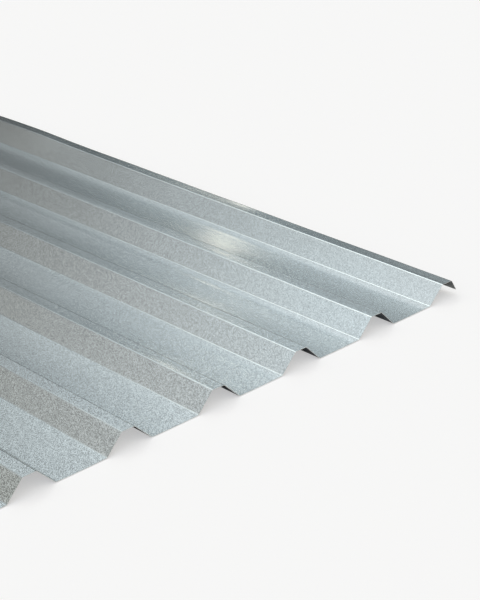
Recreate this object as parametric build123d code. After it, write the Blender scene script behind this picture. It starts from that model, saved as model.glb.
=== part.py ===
"""Trapezoidal corrugated metal sheet, roll-formed from one flat strip of galvanised steel.

One piece, one solid: six narrow ribs with sloped webs, five wide flat pans between them, a short flat strip past
the first rib and a turned-down lap flange past the last one.

Frame: +X runs across the ribs, from the flat strip to the turned-down flange. +Y runs along the ribs. +Z is up, with
the sheet lying on its pans. The origin is the middle of the footprint, on the level the pans rest on.
"""

from build123d import *
from math import atan2, cos, sin
import os

os.makedirs("parts", exist_ok=True)

# ---- driving dimensions, in millimetres ----
LENGTH = 2000.0  # along the ribs: a length such sheets are sold in
THICK = 0.7  # the strip's thickness
PITCH = 200.0  # rib to rib
RIBS = 6  # 5 pitches: a cover width of 1000
CREST = 27.0  # flat top of a rib, corner to corner
WEB = 34.0  # a sloped web's run across the sheet
DEPTH = 35.0  # pan to crest, same side to same side
STRIP = 18.0  # flat strip past the first rib, under the next sheet's lap
LAP_SHIFT = 2.4  # the last rib stands a little wide, so that it goes over the next sheet's first rib
LAP_RUN = 13.8  # the turned-down flange, across
LAP_DROP = 23.0  # the turned-down flange, down
BEND = 4.0  # inside radius of every bend


def profile_line():
    """The middle of the strip's thickness, as sharp corners (x, z), from the flat strip's edge to the lap flange's edge."""
    low, high = THICK / 2, THICK / 2 + DEPTH
    line = [(0.0, low)]
    for i in range(RIBS):
        last = i == RIBS - 1
        foot = STRIP + i * PITCH
        left = foot + WEB + (LAP_SHIFT if last else 0.0)
        line += [(foot, low), (left, high), (left + CREST, high)]
        if last:
            line.append((left + CREST + LAP_RUN, high - LAP_DROP))
        else:
            line.append((left + CREST + WEB, low))
    return line


def side(line, off):
    """The line's parallel at a distance off to its left, mitred at the corners."""
    moved = []
    heading = [
        atan2(b[1] - a[1], b[0] - a[0]) for a, b in zip(line[:-1], line[1:])
    ]
    for k, (x, z) in enumerate(line):
        before = heading[max(k - 1, 0)]
        after = heading[min(k, len(heading) - 1)]
        mean = (before + after) / 2
        reach = off / cos((after - before) / 2)
        moved.append((x - sin(mean) * reach, z + cos(mean) * reach))
    return moved


def radii(line, off):
    """The fillet at each inner corner of a side: the inside radius where the side is inside the bend, and that plus the thickness where it is outside."""
    found = []
    for a, b, c in zip(line[:-2], line[1:-1], line[2:]):
        turn = (b[0] - a[0]) * (c[1] - b[1]) - (b[1] - a[1]) * (c[0] - b[0])
        found.append(BEND if (turn > 0) == (off > 0) else BEND + THICK)
    return found


line = profile_line()
width = line[-1][0] - line[0][0]
top = side(line, THICK / 2)
bottom = side(line, -THICK / 2)
# the flange's lower corner stands out past the middle line, so the box's middle is found from the corners themselves
low_x = min(x for x, z in top + bottom)
high_x = max(x for x, z in top + bottom)
middle = (low_x + high_x) / 2
top = [(x - middle, z) for x, z in top]
bottom = [(x - middle, z) for x, z in bottom]

upper = FilletPolyline(*top, radius=radii(line, THICK / 2))
lower = FilletPolyline(*bottom, radius=radii(line, -THICK / 2))
ends = [Line(top[0], bottom[0]), Line(top[-1], bottom[-1])]
section = make_face([*upper.edges(), *lower.edges(), *ends])

# the section is drawn in (x, z) and runs the sheet's length along Y
sheet = extrude(Plane.XZ * section, amount=LENGTH / 2, both=True)
sheet = sheet.solids()[0]
sheet.label = "corrugated_sheet"
export_step(sheet, "parts/corrugated_sheet.step")

if __name__ == "__main__":
    flat = sum(
        ((b[0] - a[0]) ** 2 + (b[1] - a[1]) ** 2) ** 0.5
        for a, b in zip(line[:-1], line[1:])
    )
    box = sheet.bounding_box()
    print("overall", box.size, "low", box.min, "high", box.max)
    print("middle of the corners", round(middle, 4), "flat strip width", round(flat, 1))
    print("volume mm3", round(sheet.volume), "mass kg at 7850", round(sheet.volume * 7.85e-6, 3))
    for i in range(RIBS):
        left = STRIP + i * PITCH + WEB + (LAP_SHIFT if i == RIBS - 1 else 0.0) - middle
        print("rib", i + 1, "crest", round(left, 3), round(left + CREST, 3))
    for i in range(RIBS - 1):
        a = STRIP + i * PITCH + WEB + CREST + WEB - middle
        b = STRIP + (i + 1) * PITCH - middle
        print("pan", i + 1, round(a, 3), round(b, 3), "middle", round((a + b) / 2, 3))
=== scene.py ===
"""Looks of the corrugated metal sheet: one galvanised sheet lying on a pale floor, seen from above its cut end.

The sheet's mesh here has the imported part's section, with round bends and the slight unevenness of a rolled sheet.
"""

import math

import bpy
import numpy as np
from mathutils import Matrix, Vector


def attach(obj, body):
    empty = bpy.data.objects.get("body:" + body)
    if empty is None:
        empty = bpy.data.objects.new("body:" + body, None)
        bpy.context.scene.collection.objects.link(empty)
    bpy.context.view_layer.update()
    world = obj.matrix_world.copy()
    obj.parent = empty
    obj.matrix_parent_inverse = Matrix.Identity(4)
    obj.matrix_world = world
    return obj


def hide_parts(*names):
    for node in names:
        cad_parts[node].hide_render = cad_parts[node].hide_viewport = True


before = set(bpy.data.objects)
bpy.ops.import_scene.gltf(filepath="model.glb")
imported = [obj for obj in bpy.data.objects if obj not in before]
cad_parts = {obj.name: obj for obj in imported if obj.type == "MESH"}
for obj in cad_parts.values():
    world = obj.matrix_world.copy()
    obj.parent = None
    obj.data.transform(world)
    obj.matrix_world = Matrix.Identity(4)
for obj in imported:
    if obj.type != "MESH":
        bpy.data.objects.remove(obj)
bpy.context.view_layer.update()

# ---------------------------------------------------------------- camera
# The camera's place and turn follow from the section's corners along the cut end, and are in the row frame in metres.
cam_data = bpy.data.cameras.new("camera")
cam_data.sensor_width = 36.0
cam_data.lens = 95.33
cam_data.clip_start, cam_data.clip_end = 0.05, 400.0
cam = bpy.data.objects.new("camera", cam_data)
bpy.context.scene.collection.objects.link(cam)
right = Vector((0.732483, -0.680012, -0.032458))
down = Vector((-0.307161, -0.287561, -0.907172))
ahead = Vector((0.607553, 0.674457, -0.419507))
turn = Matrix((right, -down, -ahead)).transposed().to_4x4()
cam.matrix_world = Matrix.Translation((-1.66994, -2.82581, 1.31757)) @ turn
bpy.context.scene.camera = cam

# ---------------------------------------------------------------- the section, in metres, as in the part's source
LENGTH, THICK, PITCH, RIBS = 2.0, 0.0007, 0.2, 6
CREST, WEB, DEPTH, STRIP = 0.027, 0.034, 0.035, 0.018
LAP_SHIFT, LAP_RUN, LAP_DROP, BEND = 0.0024, 0.0138, 0.023, 0.004
MIDDLE = 0.54775  # the row's origin, from the flat strip's edge
ARC = 7  # facets around a bend


def corners():
    low, high = THICK / 2, THICK / 2 + DEPTH
    line = [(0.0, low)]
    names = []
    for i in range(RIBS):
        last = i == RIBS - 1
        foot = STRIP + i * PITCH
        left = foot + WEB + (LAP_SHIFT if last else 0.0)
        line += [(foot, low), (left, high), (left + CREST, high)]
        names += [
            "strip" if i == 0 else f"pan{i}",
            f"near_web{i + 1}",
            f"crest{i + 1}",
        ]
        if last:
            line.append((left + CREST + LAP_RUN, high - LAP_DROP))
            names.append("flange")
        else:
            line.append((left + CREST + WEB, low))
            names.append(f"far_web{i + 1}")
    return [(x - MIDDLE, z) for x, z in line], names


# Roll-formed pans carry two faint lengthwise creases, this far from each foot
CREASE = 0.029


def stations(name, length, cut0, cut1):
    """Shares of the way along a flat where the mesh has a point, closer together at a pan's creases."""
    steps = {"strip": 4, "near_web": 8, "far_web": 8, "crest": 8, "flange": 5}
    kind = name.rstrip("123456")
    if kind != "pan":
        n = steps[kind]
        return [j / n for j in range(n + 1)]
    run = length - cut0 - cut1
    at = [run * j / 18 for j in range(19)]
    at = sorted(at + [run - 0.0015, run - 0.003, run - 0.0065])
    for c in (CREASE - cut0, length - CREASE - cut0):
        at = [a for a in at if abs(a - c) > 0.0042]
        at += [c + d for d in (-0.004, -0.0025, -0.0012, 0.0, 0.0012, 0.0025, 0.004)]
    return [a / run for a in sorted(at)]


def section():
    """Points and unit normals along the middle of the strip's thickness, bends included, and the flat each point is on, with its share along it."""
    pts, names = corners()
    radius = BEND + THICK / 2
    heads = [
        math.atan2(b[1] - a[1], b[0] - a[0]) for a, b in zip(pts[:-1], pts[1:])
    ]
    cuts = [0.0] + [
        radius * math.tan(abs(h1 - h0) / 2) for h0, h1 in zip(heads[:-1], heads[1:])
    ]
    cuts.append(0.0)
    P, N, F, U = [], [], [], []
    for k, name in enumerate(names):
        a, b, h = np.array(pts[k]), np.array(pts[k + 1]), heads[k]
        along = np.array([math.cos(h), math.sin(h)])
        up = np.array([-math.sin(h), math.cos(h)])
        start, end = a + along * cuts[k], b - along * cuts[k + 1]
        length = float(np.hypot(*(b - a)))
        for share in stations(name, length, cuts[k], cuts[k + 1]):
            p = start + (end - start) * share
            P.append(p), N.append(up), F.append(k)
            U.append(float(np.dot(p - a, along)))
        if k + 1 < len(names):
            h2 = heads[k + 1]
            side = 1.0 if h2 > h else -1.0
            centre = end + up * radius * side
            for j in range(1, ARC):
                angle = h + (h2 - h) * j / ARC
                nn = np.array([-math.sin(angle), math.cos(angle)])
                P.append(centre - nn * radius * side), N.append(nn), F.append(k)
                U.append(-1.0)
    return np.array(P), np.array(N), np.array(F), np.array(U), names


SEC_P, SEC_N, SEC_F, SEC_U, NAMES = section()
CORNERS = np.array(corners()[0])
FOOT = {n: (CORNERS[k][0], CORNERS[k + 1][0]) for k, n in enumerate(NAMES)}


def hump(t, centre, half):
    return np.exp(-0.5 * ((t - centre) / half) ** 2)


# The lean of each pan's surface towards -X, in degrees, at PAN_KNOTS from the far foot to the near one, in metres, with
# both sides of both creases among them. There is a row for each of the distances PAN_AT from the cut end, in metres.
# Over its last 9 mm, the far foot also curls up.
PAN_AT = (0.1, 0.5, 0.9, 1.3)
PAN_KNOTS = (0.0, 0.010, 0.020, 0.0274, 0.0306, 0.050, 0.0744, 0.0776, 0.105)
PAN_CURL = {1: (0.6, 0.3, 0.2, 0.1), 2: (0.4, 0.2, 0.1, 0.1), 3: (0.5, 0.2, 0.1, 0.1), 4: (1.0, 0.5, 0.3, 0.2), 5: (1.7, 0.9, 0.7, 0.4)}
PAN_LEAN = {
    1: (
        (2.05, 1.60, 0.75, 0.15, 0.40, -0.75, -1.20, -1.10, -2.10),
        (1.95, 1.45, 0.60, -0.10, 0.15, -0.75, -1.30, -1.15, -2.05),
        (2.05, 1.50, 0.65, 0.00, 0.30, -0.75, -1.20, -1.10, -2.10),
        (2.05, 1.50, 0.75, 0.10, 0.30, -0.75, -1.20, -1.10, -2.10),
    ),
    2: (
        (1.70, 1.35, 0.50, -0.05, 0.25, -0.90, -1.75, -1.95, -3.35),
        (1.65, 1.65, 1.00, 0.20, 0.40, -0.95, -1.90, -2.15, -3.60),
        (1.55, 1.65, 1.10, 0.45, 0.55, -0.80, -1.90, -2.15, -3.60),
        (1.70, 1.65, 1.00, 0.45, 0.40, -0.90, -1.85, -2.10, -3.50),
    ),
    3: (
        (1.25, 1.10, 0.50, -0.10, 0.35, 0.20, -0.95, -1.05, -2.55),
        (0.85, 1.35, 1.80, 1.55, 1.85, 1.10, -0.05, -0.20, -1.60),
        (0.50, 1.45, 2.70, 2.85, 3.00, 2.15, 0.60, 0.25, -1.20),
        (0.40, 1.50, 3.00, 3.30, 3.35, 2.45, 0.75, 0.35, -1.75),
    ),
    4: (
        (0.45, 0.45, 0.50, 0.50, 1.50, 1.30, 0.25, 0.10, -0.75),
        (0.40, 0.40, 0.55, 0.80, 1.90, 1.60, 0.15, -0.05, -1.20),
        (0.50, 0.30, 1.35, 2.00, 2.95, 1.90, 0.55, 0.30, -1.20),
        (0.75, 0.40, 1.30, 2.00, 3.00, 1.95, 1.00, 0.65, -1.05),
    ),
    5: (
        (0.95, 0.70, 0.45, 0.30, 1.00, 0.50, -0.30, -0.25, -1.05),
        (1.25, 0.90, 0.60, 0.45, 0.70, 0.35, -0.75, -0.70, -0.90),
        (1.50, 1.15, 0.75, 0.95, 0.80, 0.15, -1.15, -1.10, -0.80),
        (1.75, 1.35, 0.90, -0.45, -1.40, -2.05, -2.20, -1.90, -1.05),
    ),
}
# A shallow dent in the fifth pan: metres from its far foot and from the cut end, half its size each way, and the lean
# that it adds, in degrees
DENT = (0.0380, 0.555, 0.0070, 0.050, -0.30)
# The lean of each crest, in degrees towards -X: distances from the cut end in metres, and the lean of its near third,
# of its middle and of its far third there
CREST_LEAN = {
    1: ((0.1, 0.4, 0.8, 1.3), (-0.15, -0.15, -0.15, -0.15), (-0.40, -0.40, -0.40, -0.40), (-0.65, -0.65, -0.65, -0.65)),
    2: ((0.1, 0.4, 0.8, 1.3), (-0.80, -0.70, -0.60, -0.30), (-1.10, -0.95, -0.75, -0.60), (-0.75, -0.40, -0.20, -0.15)),
    3: ((0.1, 0.4, 0.8, 1.3), (-3.05, -2.25, -2.10, -2.60), (-1.95, -1.70, -1.95, -1.95), (-1.10, -1.30, -1.45, -1.40)),
    4: ((0.1, 0.4, 0.8, 1.3), (-0.60, -0.60, -0.70, -0.80), (-0.40, -0.40, -0.85, -1.10), (-0.05, 0.00, -0.45, -0.65)),
    5: ((0.1, 0.4, 0.8, 1.3), (0.15, 0.70, 2.50, 1.90), (-0.45, 0.00, 0.15, 0.35), (-0.10, 0.80, 0.50, 0.10)),
    6: ((0.07, 0.3, 0.45, 0.53, 0.56, 0.59, 0.615, 0.65, 0.75, 0.9, 1.05, 1.17, 1.27, 1.37, 1.47), (-2.05, -1.75, -0.95, -0.90, -0.85, -0.80, -0.85, -1.00, -1.30, -1.45, -2.00, -3.40, -3.05, -2.30, -1.80), (-0.65, -1.45, -1.10, -0.90, -0.55, -0.25, -0.40, -0.75, -0.85, -0.70, -1.30, -3.20, -3.65, -2.80, -2.10), (-1.00, -1.70, -0.80, -0.60, 0.80, 1.00, 0.80, -0.60, -0.45, -1.15, -1.90, -3.60, -4.10, -3.50, -2.75)),
}
# The free lap rib isn't quite level: its height over the others', in millimetres, at distances from the cut end in
# metres. It was knocked up at 1.3 to 1.5 m.
LAP_LIFT = (
    (0.00, 0.25, 0.43, 0.52, 0.64, 0.74, 0.82, 0.95, 1.08, 1.16, 1.22, 1.27, 1.32, 1.36, 1.42, 1.48, 1.54, 1.65, 2.00),
    (-0.9, -0.7, -0.7, -0.3, -0.3, 0.1, 0.7, 1.4, 1.7, 2.1, 2.8, 3.9, 5.0, 5.1, 4.6, 3.9, 2.8, 0.8, 0.0),
)


def smooth_table(y, table, half=0.018):
    """A table of knots along the sheet, with its corners rounded off."""
    at, values = table
    fine = np.arange(-0.2, 2.2, 0.004)
    v = np.interp(fine, at, values)
    k = np.exp(-0.5 * (np.arange(-20, 21) * 0.004 / half) ** 2)
    return np.interp(y, fine, np.convolve(v, k / k.sum(), mode="same"))


def crest_lean(i, y):
    """The lean of a crest's near third, middle and far third, in degrees, at the lengths y."""
    at, *rows = CREST_LEAN[i]
    at = (at[0] - 0.4, *at, at[-1] + 0.8)
    return np.array([smooth_table(y, (at, (r[0], *r, r[-1]))) for r in rows])


def crest_bow(lean, share, width):
    """Height over the straight line between a crest's edges, for a lean given at a sixth, a half and five sixths."""
    fine = np.linspace(0.0, 1.0, 49)
    slope = np.array([np.tan(np.radians(np.interp(fine, (1 / 6, 1 / 2, 5 / 6), column))) for column in lean.T]).T
    rise = np.vstack([np.zeros(slope.shape[1]), np.cumsum((slope[1:] + slope[:-1]) / 2 / 48, axis=0)]) * width
    rise -= fine[:, None] * rise[-1][None, :]
    return np.array([np.interp(share, fine, column) for column in rise.T]).T


def pan_relief(x, far, near, knots, curl):
    """Height over the straight line between a pan's feet, for a lean given at its knots."""
    run = far - near
    s = np.linspace(0.0, run, 841)
    c1 = CREASE
    lean = np.radians(np.interp(s, PAN_KNOTS, knots) + curl * np.clip(1.0 - s / 0.009, 0.0, 1.0))
    # a crease is a thin groove: just before it the lean dips for a moment
    lean -= np.radians(0.45) * hump(s, c1 - 0.0022, 0.0011)
    lean += np.radians(0.30) * hump(s, c1 + 0.0012, 0.0011)
    drop = np.concatenate([[0.0], np.cumsum((lean[1:] + lean[:-1]) / 2 * np.diff(s))])
    rise = -drop + drop[-1] * s / run
    return np.interp(far - x, s, rise)


def displaced(P, N, F, Y):
    """The rolled sheet's slight unevenness: lifts the middle surface's points P (x, z) at the lengths Y. All in metres."""
    x, y = P[:, 0], Y
    out = np.zeros((len(x), len(y)))
    far_in = y + LENGTH / 2  # from the cut end
    # 1. bends: each crest's two edges rise or sink a little, and the webs follow
    edge = np.zeros((len(CORNERS), len(y)))
    for i in range(1, RIBS + 1):
        k = NAMES.index(f"crest{i}")
        lean = crest_lean(i, far_in)
        mean = np.tan(np.radians((3 * lean[0] + 2 * lean[1] + 3 * lean[2]) / 8))
        wave = 0.00009 * np.sin(y * 13.0 + 2.1 * i) + 0.00006 * np.sin(y * 31.0 + 1.3 * i)
        edge[k] = -mean * CREST / 2 + wave
        edge[k + 1] = mean * CREST / 2 + wave
        if i == RIBS:
            lift = smooth_table(far_in, LAP_LIFT) / 1000
            edge[k] += lift
            edge[k + 1] += lift
            edge[k + 2] = edge[k + 1]
    for j in range(len(y)):
        out[:, j] = np.interp(x, CORNERS[:, 0], edge[:, j])
    # the crests are a little crowned or dished between their edges
    for i in range(1, RIBS + 1):
        left, right = FOOT[f"crest{i}"]
        on_crest = (x >= left) & (x <= right)
        share = (x[on_crest] - left) / (right - left)
        out[on_crest] += crest_bow(crest_lean(i, far_in), share, right - left)
    # 2. pans: creases, curled feet, and a slow wave along the sheet
    for i in range(1, RIBS):
        near, far = FOOT[f"pan{i}"]
        on_pan = (x >= near) & (x <= far)
        rows = np.array([pan_relief(x[on_pan], far, near, knots, curl) for knots, curl in zip(PAN_LEAN[i], PAN_CURL[i])])
        at = (PAN_AT[0] - 0.4, *PAN_AT, PAN_AT[-1] + 0.8)
        rise = np.array([smooth_table(far_in, (at, (c[0], *c, c[-1])), 0.05) for c in rows.T])
        if i == 5:
            s = np.linspace(0.0, far - near, 841)
            at_s, at_y, half_s, half_y, lean = DENT
            drop = np.cumsum(np.radians(lean) * hump(s, at_s, half_s)) * s[1]
            shape = np.interp(far - x[on_pan], s, drop[-1] * s / s[-1] - drop)
            rise += shape[:, None] * hump(far_in, at_y, half_y)[None, :]
        share = (x[on_pan] - near) / (far - near)
        sag = np.sin(share * math.pi) ** 2
        wave = 0.00010 * np.sin(y * 9.0 + 1.7 * i) + 0.00005 * np.sin(y * 23.0 + 0.9 * i)
        out[on_pan] += rise + sag[:, None] * wave[None, :]
    X = x[:, None] + 0.0 * Y[None, :]
    Z = P[:, None, 1] + out
    return X, Y[None, :] + 0.0 * X, Z


def build_mesh():
    # lengths: closer together at the ends
    ny = 90
    t = np.linspace(-1, 1, ny)
    Y = LENGTH / 2 * (0.86 * t + 0.14 * np.sin(t * math.pi / 2))
    Y[0], Y[-1] = -LENGTH / 2, LENGTH / 2
    P, N, F = SEC_P, SEC_N, SEC_F
    X3, Y3, Z3 = displaced(P, N, F, Y)
    mid = np.stack([X3, Y3, Z3], -1)
    # normals: the section's own, turned by what the unevenness does along both directions
    base = np.zeros_like(mid)
    base[..., 0] = N[:, None, 0]
    base[..., 2] = N[:, None, 1]
    flat = np.stack(
        [
            P[:, None, 0] + 0 * Y[None, :],
            Y[None, :] + 0 * P[:, None, 0],
            P[:, None, 1] + 0 * Y[None, :],
        ],
        -1,
    )
    move = mid - flat
    along = np.zeros((len(P), 3))
    along[:, 0], along[:, 2] = N[:, 1], -N[:, 0]
    arc = np.concatenate([[0.0], np.cumsum(np.hypot(*np.diff(P, axis=0).T))])
    d_s = np.gradient(move, arc, axis=0)
    d_y = np.gradient(move, Y, axis=1)
    ts = along[:, None, :] + d_s
    ty = np.array([0.0, 1.0, 0.0])[None, None, :] + d_y
    nrm = np.cross(ts, ty)
    nrm /= np.linalg.norm(nrm, axis=-1, keepdims=True)
    top = mid + nrm * THICK / 2
    low = mid - nrm * THICK / 2
    ns = len(P)
    verts = np.concatenate([top.reshape(-1, 3), low.reshape(-1, 3)])
    off = ns * ny
    i, j = np.meshgrid(np.arange(ns - 1), np.arange(ny - 1), indexing="ij")
    a = (i * ny + j).ravel()
    b = ((i + 1) * ny + j).ravel()
    c = ((i + 1) * ny + j + 1).ravel()
    d = (i * ny + j + 1).ravel()
    faces_top = np.stack([a, b, c, d], 1)
    faces_low = np.stack([a, d, c, b], 1) + off
    k = np.arange(ns - 1)
    e0 = np.stack([k * ny, k * ny + off, (k + 1) * ny + off, (k + 1) * ny], 1)
    m = ny - 1
    e1 = np.stack(
        [k * ny + m, (k + 1) * ny + m, (k + 1) * ny + m + off, k * ny + m + off], 1
    )
    q = np.arange(ny - 1)
    s0 = np.stack([q, q + 1, q + 1 + off, q + off], 1)
    r = (ns - 1) * ny
    s1 = np.stack([r + q, r + q + off, r + q + 1 + off, r + q + 1], 1)
    faces = np.concatenate([faces_top, faces_low, e0, e1, s0, s1])
    mesh = bpy.data.meshes.new("sheet_body")
    mesh.from_pydata(verts.tolist(), [], faces.tolist())
    # two materials: the rolled faces, and the sheared edges
    mat = np.zeros(len(faces), np.int32)
    mat[len(faces_top) + len(faces_low) :] = 1
    mesh.polygons.foreach_set("material_index", mat)
    mesh.polygons.foreach_set("use_smooth", np.ones(len(faces), bool))
    mesh.update()
    # corner normals: the analytic ones on the two rolled faces, each face's own on the sheared edges
    loops = np.zeros((len(mesh.loops), 3))
    vi = np.empty(len(mesh.loops), np.int64)
    mesh.loops.foreach_get("vertex_index", vi)
    vn = np.concatenate([nrm.reshape(-1, 3), -nrm.reshape(-1, 3)])
    loops[:] = vn[vi]
    first_edge = (len(faces_top) + len(faces_low)) * 4
    pn = np.empty(len(mesh.polygons) * 3)
    mesh.polygons.foreach_get("normal", pn)
    pn = pn.reshape(-1, 3)[len(faces_top) + len(faces_low) :]
    loops[first_edge:] = np.repeat(pn, 4, axis=0)
    mesh.normals_split_custom_set(loops.tolist())
    # 1 on the bends and 0 on the flats: the rollers have burnished the bends, which calms their grain, and the bends
    #                                    are also painted lighter as a painted highlight for the bright lines they catch
    bend_rub_and_highlight_mask = np.repeat((SEC_U < 0).astype(float), ny)
    layer = mesh.attributes.new("bend_rub_and_highlight_mask", "FLOAT", "POINT")
    layer.data.foreach_set("value", np.concatenate([bend_rub_and_highlight_mask, bend_rub_and_highlight_mask]))
    mesh.validate()
    return mesh


mesh = build_mesh()
sheet = bpy.data.objects.new("galvanised_sheet", mesh)
bpy.context.scene.collection.objects.link(sheet)


# ---------------------------------------------------------------- materials
def nodes_of(mat):
    mat.use_nodes = True
    nt = mat.node_tree
    nt.nodes.clear()
    return nt


def add(nt, kind, **values):
    n = nt.nodes.new(kind)
    for k, v in values.items():
        setattr(n, k, v)
    return n


def math_node(nt, op, a, b=None, c=None, clamp=False):
    n = add(nt, "ShaderNodeMath", operation=op, use_clamp=clamp)
    for i, v in enumerate((a, b, c)):
        if v is None:
            continue
        if isinstance(v, (int, float)):
            n.inputs[i].default_value = v
        else:
            nt.links.new(v, n.inputs[i])
    return n.outputs[0]


def vec_node(nt, op, a, b=None, scale=None):
    n = add(nt, "ShaderNodeVectorMath", operation=op)
    for i, v in enumerate((a, b)):
        if v is None:
            continue
        if isinstance(v, (tuple, list)):
            n.inputs[i].default_value = v
        else:
            nt.links.new(v, n.inputs[i])
    if scale is not None:
        if isinstance(scale, (int, float)):
            n.inputs["Scale"].default_value = scale
        else:
            nt.links.new(scale, n.inputs["Scale"])
    return n.outputs[0]


def noise_node(nt, where, scale, detail=2.0, roughness=0.5):
    n = add(nt, "ShaderNodeTexNoise")
    n.inputs["Scale"].default_value = scale
    n.inputs["Detail"].default_value = detail
    n.inputs["Roughness"].default_value = roughness
    nt.links.new(where, n.inputs["Vector"])
    return n.outputs["Fac"]


ZINC = (0.600, 0.645, 0.660)  # mean reflectance, a cool grey
SPANGLE = 0.78  # how much the grains differ in tone
TILT = 0.008  # how much the grains lean, as the tangent of an angle


def zinc():
    """Dull hot-dip zinc: fine grains that differ in tone and lean, under the thin even gloss of the rolled skin."""
    mat = bpy.data.materials.new("galvanised_zinc")
    nt = nodes_of(mat)
    out = add(nt, "ShaderNodeOutputMaterial")
    b = add(nt, "ShaderNodeBsdfPrincipled")
    nt.links.new(b.outputs[0], out.inputs[0])
    b.inputs["Metallic"].default_value = 0.8
    b.inputs["Coat Weight"].default_value = 1.0
    b.inputs["Coat Roughness"].default_value = 0.1
    b.inputs["Coat IOR"].default_value = 1.5
    co = add(nt, "ShaderNodeTexCoord").outputs["Object"]

    # grains of about 1 mm, drawn out a little to one side, each with its own tone, roughness and lean
    across = add(nt, "ShaderNodeVectorMath", operation="DOT_PRODUCT")
    nt.links.new(co, across.inputs[0])
    across.inputs[1].default_value = (0.669, 0.743, 0.0)
    shrink = vec_node(nt, "SCALE", (0.669, 0.743, 0.0), scale=math_node(nt, "MULTIPLY", across.outputs["Value"], -0.5))
    drawn = vec_node(nt, "ADD", co, shrink)
    grain = add(nt, "ShaderNodeTexVoronoi", voronoi_dimensions="3D", feature="F1")
    grain.inputs["Scale"].default_value = 1000.0
    nt.links.new(drawn, grain.inputs["Vector"])
    sep = add(nt, "ShaderNodeSeparateColor")
    nt.links.new(grain.outputs["Color"], sep.inputs[0])
    # coarser grains of about 2 mm
    group = add(nt, "ShaderNodeTexVoronoi", voronoi_dimensions="3D", feature="F1")
    group.inputs["Scale"].default_value = 430.0
    nt.links.new(drawn, group.inputs["Vector"])
    sep2 = add(nt, "ShaderNodeSeparateColor")
    nt.links.new(group.outputs["Color"], sep2.inputs[0])
    cloud = noise_node(nt, drawn, 120.0, 1.0, 0.5)
    # the coating's thickness drifts slowly, and is drawn out along the strip
    drift = noise_node(nt, vec_node(nt, "MULTIPLY", co, (1.0, 0.35, 1.0)), 14.0, 3.0, 0.55)
    streak = noise_node(nt, vec_node(nt, "MULTIPLY", co, (1.0, 0.012, 1.0)), 170.0, 3.0, 0.6)

    # the grain is stronger in tone towards the sheet's first corner, and calmer towards the far end of the lap
    where = add(nt, "ShaderNodeVectorMath", operation="DOT_PRODUCT")
    nt.links.new(co, where.inputs[0])
    where.inputs[1].default_value = (0.95, 0.70, 0.0)
    calm = math_node(nt, "EXPONENT", math_node(nt, "MULTIPLY_ADD", where.outputs["Value"], -0.85, -0.92))
    calm = math_node(nt, "MINIMUM", math_node(nt, "MAXIMUM", calm, 0.22), 1.4)
    # and on the bends, which the rollers have burnished, the grain is calmer
    bend_rub_and_highlight = add(nt, "ShaderNodeAttribute", attribute_name="bend_rub_and_highlight_mask").outputs["Fac"]
    calm = math_node(nt, "MULTIPLY", calm, math_node(nt, "MULTIPLY_ADD", bend_rub_and_highlight, -0.85, 1.0))
    # most grains are either light or dark
    side = math_node(nt, "MULTIPLY_ADD", math_node(nt, "SUBTRACT", sep.outputs[0], 0.5), 3.0, 0.5, clamp=True)
    spread = math_node(nt, "MULTIPLY", math_node(nt, "SUBTRACT", side, 0.5), SPANGLE)
    # towards the lap, the coarser grains take over from the fine ones
    lap = math_node(nt, "MULTIPLY_ADD", where.outputs["Value"], 1.6, 1.06, clamp=True)
    fine = math_node(nt, "MULTIPLY", spread, math_node(nt, "MULTIPLY_ADD", lap, -0.7, 1.0))
    coarse = math_node(nt, "MULTIPLY", math_node(nt, "SUBTRACT", sep2.outputs[0], 0.5), math_node(nt, "MULTIPLY_ADD", lap, 0.66, 0.10))
    tone = math_node(nt, "MULTIPLY_ADD", math_node(nt, "ADD", fine, coarse), calm, 1.0)
    tone = math_node(nt, "MULTIPLY", tone, math_node(nt, "MULTIPLY_ADD", cloud, 0.06, 0.97))
    tone = math_node(nt, "MULTIPLY", tone, math_node(nt, "MULTIPLY_ADD", drift, 0.05, 0.975))
    tone = math_node(nt, "MULTIPLY", tone, math_node(nt, "MULTIPLY_ADD", streak, 0.05, 0.975))
    # painted highlight: the bends' tone is raised by a fifth, standing in for the bright lines of light along them
    tone = math_node(nt, "MULTIPLY", tone, math_node(nt, "MULTIPLY_ADD", bend_rub_and_highlight, 0.2, 1.0))
    nt.links.new(vec_node(nt, "SCALE", ZINC, scale=tone), b.inputs["Base Color"])

    rough = math_node(nt, "MULTIPLY_ADD", sep.outputs[1], 0.05, 0.205)
    rough = math_node(nt, "ADD", rough, math_node(nt, "MULTIPLY_ADD", drift, 0.02, -0.01))
    nt.links.new(rough, b.inputs["Roughness"])

    # each grain's lean, added to the surface's own normal
    lean = vec_node(nt, "SUBTRACT", grain.outputs["Color"], (0.5, 0.5, 0.5))
    geo = add(nt, "ShaderNodeNewGeometry")
    turned = vec_node(nt, "ADD", geo.outputs["Normal"], vec_node(nt, "SCALE", lean, scale=math_node(nt, "MULTIPLY", calm, TILT * 2.0)))
    nt.links.new(vec_node(nt, "NORMALIZE", turned), b.inputs["Normal"])
    return mat


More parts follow.
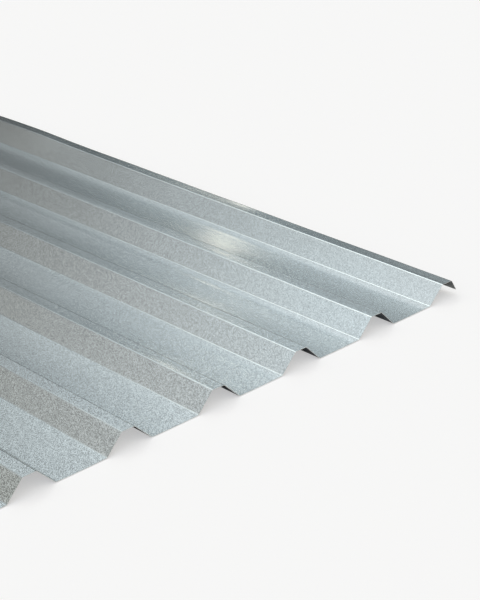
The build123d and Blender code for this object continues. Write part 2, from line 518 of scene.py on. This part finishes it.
def sheared():
    mat = bpy.data.materials.new("sheared_edge_painted_highlight")
    nt = nodes_of(mat)
    out = add(nt, "ShaderNodeOutputMaterial")
    b = add(nt, "ShaderNodeBsdfPrincipled")
    nt.links.new(b.outputs[0], out.inputs[0])
    b.inputs["Metallic"].default_value = 0.1
    b.inputs["Roughness"].default_value = 0.5
    co = add(nt, "ShaderNodeTexCoord").outputs["Object"]
    n = noise_node(nt, co, 900.0)
    # bare cut steel, painted near-white as a painted highlight for the bright line of light along the cut end
    ramp = add(nt, "ShaderNodeValToRGB")
    ramp.color_ramp.elements[0].color = (0.88, 0.89, 0.87, 1)
    ramp.color_ramp.elements[1].color = (0.98, 0.98, 0.96, 1)
    nt.links.new(n, ramp.inputs[0])
    nt.links.new(ramp.outputs[0], b.inputs["Base Color"])
    bump = add(nt, "ShaderNodeBump")
    bump.inputs["Strength"].default_value = 0.6
    bump.inputs["Distance"].default_value = 0.0001
    nt.links.new(n, bump.inputs["Height"])
    nt.links.new(bump.outputs[0], b.inputs["Normal"])
    return mat


mesh.materials.append(zinc())
mesh.materials.append(sheared())

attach(sheet, "root")
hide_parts("corrugated_sheet")

# ---------------------------------------------------------------- floor
fm = bpy.data.meshes.new("floor")
size = 150.0
FLOOR = -0.0015  # just under the pans, which sag a little between their feet
fm.from_pydata(
    [
        (-size, -size, FLOOR),
        (size, -size, FLOOR),
        (size, size, FLOOR),
        (-size, size, FLOOR),
    ],
    [],
    [(0, 1, 2, 3)],
)
floor = bpy.data.objects.new("floor", fm)
bpy.context.scene.collection.objects.link(floor)
fmat = bpy.data.materials.new("pale_floor")
nt = nodes_of(fmat)
out = add(nt, "ShaderNodeOutputMaterial")
# camera rays see a pale floor that also glows evenly, which fills in its shadows; every other ray sees a dull grey
# floor, a painted shade in what the sheet's undersides and rib hollows reflect
pale = add(nt, "ShaderNodeBsdfDiffuse")
pale.inputs["Color"].default_value = (0.62, 0.62, 0.62, 1)
lit = add(nt, "ShaderNodeEmission")
lit.inputs["Color"].default_value = (0.46, 0.46, 0.46, 1)
glow = add(nt, "ShaderNodeAddShader")
nt.links.new(pale.outputs[0], glow.inputs[0])
nt.links.new(lit.outputs[0], glow.inputs[1])
dull = add(nt, "ShaderNodeBsdfDiffuse")
dull.inputs["Color"].default_value = (0.40, 0.40, 0.40, 1)
seen = add(nt, "ShaderNodeLightPath")
both = add(nt, "ShaderNodeMixShader")
nt.links.new(seen.outputs["Is Camera Ray"], both.inputs[0])
nt.links.new(dull.outputs[0], both.inputs[1])
nt.links.new(glow.outputs[0], both.inputs[2])
nt.links.new(both.outputs[0], out.inputs[0])
fm.materials.append(fmat)


# ---------------------------------------------------------------- light
def direction(az, el):
    """A unit vector: azimuth 0 is +Y and 90 is +X, and elevation is above the floor, in degrees."""
    a, e = math.radians(az), math.radians(el)
    return (math.sin(a) * math.cos(e), math.cos(a) * math.cos(e), math.sin(e))


# soft lights, far away: azimuth, elevation, sharpness, colour
LOBES = [
    (30, 25, 120.0, (0.13, 0.12, 0.12)),
    (30, 32, 120.0, (0.44, 0.50, 0.50)),
    (30, 46, 120.0, (1.61, 1.77, 1.83)),
    (42, 25, 120.0, (0.04, 0.10, 0.12)),
    (42, 32, 120.0, (0.77, 0.80, 0.83)),
    (42, 39, 120.0, (0.05, 0.05, 0.03)),
    (42, 46, 120.0, (0.21, 0.03, 0.05)),
    (54, 32, 120.0, (0.49, 0.49, 0.53)),
    (54, 39, 120.0, (0.83, 1.25, 1.16)),
    (-36, 28, 120.0, (0.20, 0.27, 0.31)),
    (-36, 35, 120.0, (0.30, 0.21, 0.16)),
    (-36, 42, 120.0, (0.68, 0.94, 1.04)),
    (-25, 42, 120.0, (0.11, 0.10, 0.08)),
    (0, 53, 120.0, (1.98, 2.06, 1.91)),
    (15, 53, 120.0, (1.25, 1.44, 1.51)),
    (-60, 17, 35.0, (0.39, 0.39, 0.16)),
    (-60, 50, 35.0, (0.55, 0.41, 0.37)),
    (-35, 15, 35.0, (0.39, 0.32, 0.21)),
    (-30, 58, 35.0, (0.75, 0.65, 0.58)),
    (75, 50, 35.0, (0.52, 0.35, 0.22)),
    (-100, 15, 8.0, (0.19, 0.09, 0.09)),
    (-100, 35, 8.0, (0.51, 0.56, 0.67)),
    (-100, 60, 8.0, (0.69, 0.76, 0.83)),
    (-155, 35, 6.0, (0.82, 0.90, 0.97)),
    (150, 35, 6.0, (0.84, 0.70, 0.53)),
    (0, 90, 12.0, (0.50, 0.53, 0.52)),
    (0, 5, 40.0, (0.46, 0.48, 0.49)),
]
# a small warm lamp, in two parts, whose soft image shows on the fifth pan and on the lap rib
LAMPS = [
    (41.12, 23.05, 20000.0, (4.50, 4.25, 3.60)),
    (41.85, 22.0, 20000.0, (6.00, 5.70, 4.85)),
]
AMBIENT = (0.0, 0.0, 0.0)
PALE = (0.93, 0.93, 0.93)  # what shows behind the floor
world = bpy.data.worlds.new("studio")
bpy.context.scene.world = world
world.use_nodes = True


def make_world(lobes, ambient):
    nt = world.node_tree
    nt.nodes.clear()
    out = add(nt, "ShaderNodeOutputWorld")
    bg = add(nt, "ShaderNodeBackground")
    where = add(nt, "ShaderNodeTexCoord")
    total = ambient
    for az, el, sharp, colour in lobes:
        dot = add(nt, "ShaderNodeVectorMath", operation="DOT_PRODUCT")
        nt.links.new(where.outputs["Generated"], dot.inputs[0])
        dot.inputs[1].default_value = direction(az, el)
        power = math_node(nt, "MULTIPLY", math_node(nt, "SUBTRACT", dot.outputs["Value"], 1.0), sharp)
        value = math_node(nt, "EXPONENT", power)
        total = vec_node(nt, "ADD", vec_node(nt, "SCALE", colour, scale=value), total)
    nt.links.new(total, bg.inputs["Color"])
    back = add(nt, "ShaderNodeBackground")
    back.inputs["Color"].default_value = (*PALE, 1)
    seen = add(nt, "ShaderNodeLightPath")
    mix = add(nt, "ShaderNodeMixShader")
    nt.links.new(seen.outputs["Is Camera Ray"], mix.inputs[0])
    nt.links.new(bg.outputs[0], mix.inputs[1])
    nt.links.new(back.outputs[0], mix.inputs[2])
    nt.links.new(mix.outputs[0], out.inputs[0])


make_world(LOBES + LAMPS, AMBIENT)

bpy.context.scene.view_settings.view_transform = "Standard"
bpy.context.scene.view_settings.look = "None"
